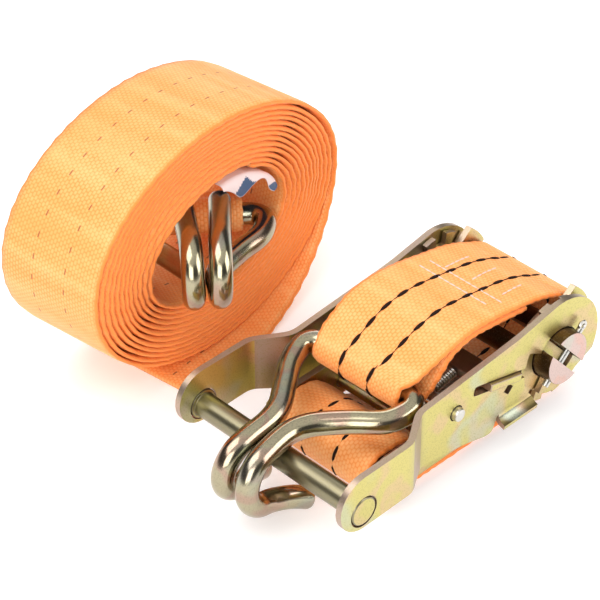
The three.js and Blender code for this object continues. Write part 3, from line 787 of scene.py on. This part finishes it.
def hook_side(half_length, slope, bend_x, tip_back, flare, splay, sideways):
    """One side of a double J hook, from the middle of its crossbar to its tip."""
    shank = SHANK_Y + sideways
    flat = [(0.0, 0.0), (0.0, half_length - ELBOW_BEND)]
    for angle in (150, 120, 90):
        turn = math.radians(angle)
        side = half_length - ELBOW_BEND + ELBOW_BEND * math.sin(turn)
        flat.append((ELBOW_BEND + ELBOW_BEND * math.cos(turn), side))
    flat.append((11, half_length - 1.9))
    flat += [(x, half_length + (shank - half_length) * share) for x, share in ((18, 0.52), (25, 0.88))]
    flat += [(bend_x - 9, shank), (bend_x, shank)]
    points = [Vector((x, y, -slope * x)) for x, y in flat]
    top = -slope * bend_x
    for angle in (60, 30, 0, -30, -60, -90):
        turn = math.radians(angle)
        lean = splay * (90 - angle) / 600
        height = top - BEND_RADIUS + BEND_RADIUS * math.sin(turn)
        points.append(Vector((bend_x + BEND_RADIUS * math.cos(turn), shank + lean, height)))
    for part in (0.35, 0.7, 1.0):
        lean = splay * (0.3 + 0.7 * part)
        drop = top - 2 * BEND_RADIUS - flare * part * part
        points.append(Vector((bend_x - tip_back * part, shank + lean, drop)))
    return points


def hook_wire(name, centre, turn, roll, splays, shift, sizes):
    """A whole hook as one bent wire, placed by its crossbar's centre."""
    right = hook_side(*sizes, splays[0], -shift)
    left = [Vector((p.x, -p.y, p.z)) for p in hook_side(*sizes, splays[1], shift)[1:]]
    local = smooth_curve(list(reversed(left)) + right, 9)
    spin = Matrix.Rotation(turn, 3, "Z") @ Matrix.Rotation(roll, 3, "X")
    return tube(name, [centre + spin @ (point * MM) for point in local], WIRE_RADIUS * MM, 28, "wire")


HOOK_YAW = math.radians(4.5)
HOOK_ROLL = math.radians(4)
HOOK_HALF = 22.6 - 0.3 - WIRE_RADIUS - 0.35
HOOK_X, HOOK_Z = 32.5, 10.3
HOOK_BEND_Z = 7.1
COIL_TURN = math.radians(6.8)
COIL_CENTRE = Vector((36.2, 80.0, 37.3 + 0.3 + 1.6 + FLOOR_Z))
COIL_HOOK = Vector((9.2, -1.0, -5.8))
COIL_HOOK_TURN = math.radians(224)


def from_coil(u, w, z):
    """A place in the coil: u along it, w from its near face to its far face, z up."""
    x = COIL_CENTRE.x + u * math.cos(COIL_TURN) - w * math.sin(COIL_TURN)
    y = COIL_CENTRE.y + u * math.sin(COIL_TURN) + w * math.cos(COIL_TURN)
    return from_grip(x, y, COIL_CENTRE.z + z)


def from_coil_hook(x, y, z):
    """A place at the coil's hook: x towards its J bends, y along its crossbar."""
    u = COIL_HOOK.x + x * math.cos(COIL_HOOK_TURN) - y * math.sin(COIL_HOOK_TURN)
    w = COIL_HOOK.y + x * math.sin(COIL_HOOK_TURN) + y * math.cos(COIL_HOOK_TURN)
    return from_coil(u, w, COIL_HOOK.z + z)


class TIEDOWN_OT_hooks(bpy.types.Operator):
    """Bends the two double J hooks"""

    bl_idname = "tiedown.hooks"
    bl_label = "Double J Hooks"

    def execute(self, context):
        slope = (HOOK_Z - HOOK_BEND_Z) / HOOK_X
        sizes = (HOOK_HALF, slope, 39.2, 10.0, 2.8)
        centre = from_grip(HOOK_X, 0.4, HOOK_Z)
        turn = math.pi + HOOK_YAW
        ratchet = hook_wire("ratchet_hook_wire", centre, turn, -HOOK_ROLL, (6, 3), 3.5, sizes)
        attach(ratchet, "hook")
        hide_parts("ratchet_hook")
        sizes = (18.9, 0.0, 36.6, 20.0, 0.0)
        centre = from_coil(*COIL_HOOK)
        turn = COIL_TURN + COIL_HOOK_TURN
        coil = hook_wire("coil_hook_wire", centre, turn, math.pi, (1.8, 1.8), 0.0, sizes)
        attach(coil, "coil_hook")
        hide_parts("coil_hook")
        return {"FINISHED"}


# ---- short strap

LOOP_OFFSET = WIRE_RADIUS + 0.3 + 0.8 + 0.05
LAYER = 1.9
FLOOR_LINE = FLOOR_Z + 0.8
ANCHOR = (21.5, -8.5)
GATHERED = HOOK_HALF - ELBOW_BEND + 0.55


def polar(centre, radius, angle):
    turn = math.radians(angle)
    return centre[0] + radius * math.cos(turn), centre[1] + radius * math.sin(turn)


def lower_stations():
    """From the stitched tail round the anchor, along the floor and up round the spindle."""
    around = [(*polar(ANCHOR, 6.7, 78 + 24 * k), FULL) for k in range(9)]
    s = SPINDLE_X
    return [
        (50, FLOOR_LINE + LAYER, FULL),
        (42, -14.5, FULL),
        (36, -8, FULL),
        (30, -2.8, FULL),
        *around,
        (26.5, FLOOR_LINE + 1.6, FULL),
        (31, FLOOR_LINE + 0.45, FULL),
        (36, FLOOR_LINE + 0.1, FULL),
        (42, FLOOR_LINE, FULL),
        (60, FLOOR_LINE, FULL),
        (s + 1.3, FLOOR_LINE, FULL),
        (s + 8.8, FLOOR_LINE + 1.2, FULL),
        (s + 15.1, -12.5, FULL),
        (s + 18.0, -4, FULL),
        (s + 17.8, 3.5, FULL),
        (s + 15.4, 9, FULL),
        (s + 12.2, 11.2, FULL),
        (s + 8.75, 12.68, FULL),
    ]


def top_stations():
    """From the spindle over the top, round the hook's crossbar and back to the stitching."""
    s = SPINDLE_X
    loop = (HOOK_X, HOOK_Z)
    return [
        (s + 8.75, 12.68, FULL),
        (s + 3.8, 15, FULL),
        (s - 3.2, 17.3, FULL),
        (72, 18.8, FULL),
        (63, 20.3, FULL),
        (54, 21.1, FULL),
        (45, 19.8, FULL),
        (39, 17.4, FULL - 0.6),
        (*polar(loop, LOOP_OFFSET, 85), FULL - 1.4),
        (*polar(loop, LOOP_OFFSET, 130), GATHERED),
        (*polar(loop, LOOP_OFFSET, 180), GATHERED),
        (*polar(loop, LOOP_OFFSET, 230), GATHERED),
        (*polar(loop, LOOP_OFFSET, 280), FULL - 2),
        (38.0, 8.5, FULL - 0.8),
        (41.6, 13.3, FULL),
        (46, 17.2, FULL),
        (54, 19.2, FULL),
        (63, 18.4, FULL),
        (72, 16.9, FULL),
        (77, 16.2, FULL),
    ]


MARK_LINES = (-1 / 3, 1 / 3)
SEWING_LINES = (
    ((22.5, 0.68), (22.5, -0.72)),
    ((27.0, 0.66), (27.0, -0.62)),
    ((20.5, 0.46), (11.5, 0.50)),
    ((19.0, -0.04), (9.5, 0.02)),
    ((18.0, -0.62), (11.0, -0.58)),
)


def loop_lean(x):
    """The loop turns and tilts with the hook's crossbar, and the strap straightens behind it."""
    share = min(max((70 - x) / 30, 0.0), 1.0)
    return -share * math.tan(HOOK_YAW), share * math.tan(HOOK_ROLL)


class TIEDOWN_OT_short_strap(bpy.types.Operator):
    """Lays the ratchet's short strap and its stitching"""

    bl_idname = "tiedown.short_strap"
    bl_label = "Short Strap"

    def execute(self, context):
        webbing = context.scene.tie_webbing
        lower = Band(lower_stations(), 9, from_grip, waver=0.04)
        piece = add_object("short_strap_run", lower.mesh("short_strap_run", 1.55, 22), "webbing")
        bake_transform(piece)
        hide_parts("short_strap_lower", "short_strap_bight")
        top = Band(top_stations(), 9, from_grip, lean=loop_lean, waver=0.10)
        cover = add_object("short_strap_cover", top.mesh("short_strap_cover", 1.5, 22), "webbing")
        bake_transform(cover)
        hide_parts("short_strap_top")
        self.sew(webbing, lower, top)
        return {"FINISHED"}

    def sew(self, webbing, lower, top):
        """Two rows of black marks on every face that shows, and the pale sewing on top."""
        total = top.lengths[-1]
        lines = [(across, lift) for across in MARK_LINES for lift in (-0.82, 0.82)]
        rows = [top.row(across, lift, 2.0, total - 3.0) for across, lift in lines]
        sizes = (webbing.mark_pitch, webbing.mark_length, 0.00125, 0.0006)
        thin = (webbing.mark_pitch / 2, webbing.mark_pitch * 0.55, 0.0003, 0.0003)
        marks = stitches("cover_marks", rows, "black", *sizes)
        thread = stitches("cover_mark_thread", rows, "black", *thin)
        for piece in (thread, marks):
            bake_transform(piece)
        lines = [(across, lift) for across in MARK_LINES for lift in (-0.62, 0.82)]
        rows = [lower.row(across, lift, 4.0, lower.lengths[-1] - 2.0) for across, lift in lines]
        thread = stitches("run_mark_thread", rows, "black", *thin)
        marks = stitches("run_marks", rows, "black", *sizes)
        for piece in (thread, marks):
            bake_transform(piece)
        rows = [top.line(start, end, -0.79) for start, end in SEWING_LINES]
        sewing = stitches("cover_sewing", rows, "rose", 0.0022, 0.0023, 0.0006, 0.0004)
        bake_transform(sewing)


# ---- coil

COIL_OUT = (52.9, 38.4)
COIL_PITCH = (1.91, 1.602)
COIL_TURNS = 12.2
TAIL_ANGLE = -12.0
SAG = math.radians(4.5)


def sagged(u, z, share):
    """The outer turns have settled, their left end higher than their right."""
    turn = SAG * share
    return u * math.cos(turn) + z * math.sin(turn), z * math.cos(turn) - u * math.sin(turn), FULL


def coil_stations():
    """The spiral from the hole outwards, then the tail down its right side and along the floor."""
    stations = []
    steps = 40
    count = int(COIL_TURNS * steps)
    for i in range(count, 0, -1):
        turns = i / steps
        angle = math.radians(TAIL_ANGLE + 360 * turns)
        ease = 0.9 * min(turns / 0.25, 1.0)
        uneven = 0.10 * math.sin(5 * angle + turns * 1.3) + 0.08 * math.sin(3 * angle - turns * 2.1)
        half_u = COIL_OUT[0] - COIL_PITCH[0] * turns - ease + uneven
        half_z = COIL_OUT[1] - COIL_PITCH[1] * turns - ease + uneven * 0.6
        stations.append(sagged(half_u * math.cos(angle), half_z * math.sin(angle), 1 - turns / COIL_TURNS))
    for k in range(14):
        angle = math.radians(TAIL_ANGLE - 6 * k)
        stations.append(sagged(COIL_OUT[0] * math.cos(angle), COIL_OUT[1] * math.sin(angle), 1 - k / 13))
    stations += [(x, -COIL_OUT[1], FULL) for x in (-8, -16, -24)]
    return stations


def coil_shift(share):
    """Sideways drift of each turn, and of the tail where it leaves the coil."""
    tail = min(max((share - 0.965) / 0.035, 0.0), 1.0)
    drift = 0.35 * math.sin(share * 71.0) + 0.3 * math.sin(share * 163.0 + 1.0)
    return drift * (1 - tail) - 10.5 * tail * tail * (3 - 2 * tail)


class TIEDOWN_OT_coil(bpy.types.Operator):
    """Winds the long strap into its coil, with its tail on the floor"""

    bl_idname = "tiedown.coil"
    bl_label = "Long Strap Coil"

    def execute(self, context):
        wound = Band(coil_stations(), 3, from_coil, shift=coil_shift, waver=0.03)
        piece = add_object("long_strap_wound", wound.mesh("long_strap_wound", 1.45, 12, 0.18, 5.7), "coil")
        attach(piece, "coil")
        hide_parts("long_strap_coil", "long_strap_tail")
        return {"FINISHED"}


EYE_HALF = 12.5
EYE_TAIL = 5.2


class TIEDOWN_OT_coil_eye(bpy.types.Operator):
    """Sews the long strap's eye round its hook"""

    bl_idname = "tiedown.coil_eye"
    bl_label = "Coil Eye"

    def execute(self, context):
        half = EYE_HALF
        tail = LOOP_OFFSET + EYE_TAIL
        stations = [(-tail, 0.95, half), (-LOOP_OFFSET - 2.4, 1.15, half)]
        around = (130, 90, 45, 0, -45, -90, -130)
        stations += [(*polar((0, 0), LOOP_OFFSET, angle), half) for angle in around]
        stations += [(-LOOP_OFFSET - 2.4, -1.15, half), (-tail, -0.95, half)]
        loop = Band(stations, 9, from_coil_hook, waver=0.05)
        piece = add_object("coil_eye_loop", loop.mesh("coil_eye_loop", 1.5, 16), "webbing")
        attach(piece, "coil")
        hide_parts("coil_eye")
        return {"FINISHED"}


class TIEDOWN_OT_label(bpy.types.Operator):
    """Hangs the paper label at the top of the coil's hole"""

    bl_idname = "tiedown.label"
    bl_label = "Coil Label"

    def execute(self, context):
        verts = []
        faces = []
        columns, rows = 110, 36
        thickness = 0.25
        for side in (0, 1):
            for i in range(columns + 1):
                share = i / columns
                angle = math.radians(88 - 76 * share)
                sag = 3.0 * math.exp(-((share - 0.34) / 0.16) ** 2)
                droop = 2.4 + 1.3 * math.sin(share * 10.0 - 0.9) + sag
                for k in range(rows + 1):
                    run = 13.5 * k / rows
                    curl = max(0.0, (run - 9.5) / 4.0)
                    inward = 0.45 + thickness * side + droop * curl * curl
                    half_u = 27.0 - inward
                    half_z = 16.4 - inward
                    w = -6.5 - min(run, 9.5) - 1.9 * math.sin(min(curl, 1.0) * 1.4)
                    verts.append(from_coil(half_u * math.cos(angle), w, half_z * math.sin(angle)))
        layer = (columns + 1) * (rows + 1)
        finish = []
        for i in range(columns):
            share = i / columns
            reach = min(0.80 + 1.2 * abs(share - 0.33), 1.0 - 1.5 * max(share - 0.78, 0.0))
            for k in range(rows):
                a = i * (rows + 1) + k
                quad = (a, a + 1, a + rows + 2, a + rows + 1)
                faces.append(quad)
                finish.append(1 if k / rows > reach else 0)
                faces.append(tuple(layer + index for index in reversed(quad)))
                finish.append(1)
        rim = list(range(rows + 1))
        rim += [i * (rows + 1) + rows for i in range(1, columns + 1)]
        rim += [columns * (rows + 1) + k for k in range(rows - 1, -1, -1)]
        rim += [i * (rows + 1) for i in range(columns - 1, 0, -1)]
        for a, b in zip(rim, rim[1:] + rim[:1]):
            faces.append((a, b, b + layer, a + layer))
            finish.append(0)
        mesh = bpy.data.meshes.new("coil_label_sheet")
        mesh.from_pydata(verts, [], faces)
        for polygon, index in zip(mesh.polygons, finish):
            polygon.material_index = index
        face_outwards(mesh)
        mesh.shade_smooth()
        piece = add_object("coil_label_sheet", mesh, "paper", "navy")
        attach(piece, "coil")
        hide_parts("coil_label")
        return {"FINISHED"}


# ---- stage


CAMERA_AZIMUTH = math.radians(44.5)
CAMERA_ELEVATION = math.radians(37.25)
CAMERA_DISTANCE = 704.0
CAMERA_LENS = 141.6
FLOOR_HALF = 6.0
FLOOR_DROP = -0.0002


class TIEDOWN_OT_stage(bpy.types.Operator):
    """Sets the camera, the floor and the soft lights"""

    bl_idname = "tiedown.stage"
    bl_label = "Stage"

    def execute(self, context):
        scene = context.scene
        scene.view_settings.view_transform = "Standard"
        settings = scene.tie_stage
        look = Vector((
            math.sin(CAMERA_AZIMUTH) * math.cos(CAMERA_ELEVATION),
            math.cos(CAMERA_AZIMUTH) * math.cos(CAMERA_ELEVATION),
            -math.sin(CAMERA_ELEVATION),
        ))
        target = from_grip(69.0, 62.4, FLOOR_Z)
        lens = bpy.data.cameras.new("camera")
        lens.sensor_width = 36.0
        lens.lens = CAMERA_LENS
        lens.clip_start = 0.01
        camera = bpy.data.objects.new("camera", lens)
        camera.location = target - look * CAMERA_DISTANCE * MM
        camera.rotation_euler = look.to_track_quat("-Z", "Y").to_euler()
        scene.collection.objects.link(camera)
        scene.camera = camera
        self.floor(target)
        self.light("key", target + Vector((-0.35, 0.15, 0.75)), target, 0.7, settings.key)
        self.light("fill", target + Vector((0.45, -0.75, 0.45)), target, 0.6, settings.fill)
        self.light("side", target + Vector((-0.75, -0.45, 0.4)), target, 0.6, settings.fill)
        self.light("back", target + Vector((0.5, 0.7, 0.5)), target, 0.5, settings.fill * 0.4)
        self.surround(scene, settings.sky)
        return {"FINISHED"}

    def floor(self, middle):
        graph = Graph("pale_floor")
        mottle = graph.noise(graph.object_place(), 3.0, 2.0)
        shade = graph.mix(mottle, (0.80, 0.80, 0.80), (0.83, 0.83, 0.83))
        graph.finish(Base_Color=shade, Roughness=0.8, Emission_Color=(1.0, 1.0, 1.0), Emission_Strength=0.3)
        mesh = bpy.data.meshes.new("floor")
        signs = ((-1, -1), (1, -1), (1, 1), (-1, 1))
        corners = [(middle.x + FLOOR_HALF * x, middle.y + FLOOR_HALF * y, FLOOR_DROP) for x, y in signs]
        mesh.from_pydata(corners, [], [(0, 1, 2, 3)])
        mesh.materials.append(graph.material)
        floor = bpy.data.objects.new("floor", mesh)
        bpy.context.scene.collection.objects.link(floor)

    def light(self, name, place, target, size, power):
        lamp = bpy.data.lights.new(name, "AREA")
        lamp.shape = "SQUARE"
        lamp.size = size
        lamp.energy = power
        holder = bpy.data.objects.new(name, lamp)
        holder.location = place
        holder.rotation_euler = (target - place).to_track_quat("-Z", "Y").to_euler()
        bpy.context.scene.collection.objects.link(holder)

    def surround(self, scene, strength):
        """A bright tent with a darker band, so that steel shows its shape."""
        world = bpy.data.worlds.new("tent")
        scene.world = world
        world.use_nodes = True
        tree = world.node_tree
        back = tree.nodes["Background"]
        place = tree.nodes.new("ShaderNodeTexCoord")
        split = tree.nodes.new("ShaderNodeSeparateXYZ")
        ramp = tree.nodes.new("ShaderNodeValToRGB")
        tree.links.new(place.outputs["Generated"], split.inputs[0])
        tree.links.new(split.outputs["Z"], ramp.inputs["Fac"])
        tree.links.new(ramp.outputs["Color"], back.inputs["Color"])
        stops = ramp.color_ramp.elements
        stops[0].position, stops[0].color = 0.0, (0.8, 0.8, 0.8, 1)
        stops[1].position, stops[1].color = 0.9, (1.3, 1.3, 1.3, 1)
        for position, level in ((0.10, 0.5), (0.2, 0.10), (0.62, 0.12), (0.72, 1.0)):
            stops.new(position).color = (level, level, level, 1)
        back.inputs["Strength"].default_value = strength


# ---- add-on

STEPS = (
    TIEDOWN_OT_stage,
    TIEDOWN_OT_plates,
    TIEDOWN_OT_fittings,
    TIEDOWN_OT_springs,
    TIEDOWN_OT_hooks,
    TIEDOWN_OT_short_strap,
    TIEDOWN_OT_coil,
    TIEDOWN_OT_coil_eye,
    TIEDOWN_OT_label,
)


class TIEDOWN_PT_panel(bpy.types.Panel):
    """Lists the steps that build the tie down"""

    bl_idname = "TIEDOWN_PT_panel"
    bl_label = "Ratchet Tie Down"
    bl_space_type = "VIEW_3D"
    bl_region_type = "UI"
    bl_category = "Tie Down"

    def draw(self, context):
        scene = context.scene
        for settings in (scene.tie_webbing, scene.tie_zinc, scene.tie_stage):
            box = self.layout.box()
            for key in settings.__annotations__:
                box.prop(settings, key)
        for step in STEPS:
            self.layout.operator(step.bl_idname)


SETTINGS = (("tie_webbing", WebbingSettings), ("tie_zinc", ZincSettings), ("tie_stage", StageSettings))


def register():
    for name, group in SETTINGS:
        bpy.utils.register_class(group)
        setattr(bpy.types.Scene, name, PointerProperty(type=group))
    for item in (*STEPS, TIEDOWN_PT_panel):
        bpy.utils.register_class(item)


def unregister():
    for item in reversed((*STEPS, TIEDOWN_PT_panel)):
        bpy.utils.unregister_class(item)
    for name, group in reversed(SETTINGS):
        delattr(bpy.types.Scene, name)
        bpy.utils.unregister_class(group)


def main():
    register()
    bpy.ops.tiedown.stage()
    bpy.ops.tiedown.plates()
    bpy.ops.tiedown.fittings()
    bpy.ops.tiedown.springs()
    bpy.ops.tiedown.hooks()
    bpy.ops.tiedown.short_strap()
    bpy.ops.tiedown.coil()
    bpy.ops.tiedown.coil_eye()
    bpy.ops.tiedown.label()


if __name__ == "__main__":
    main()
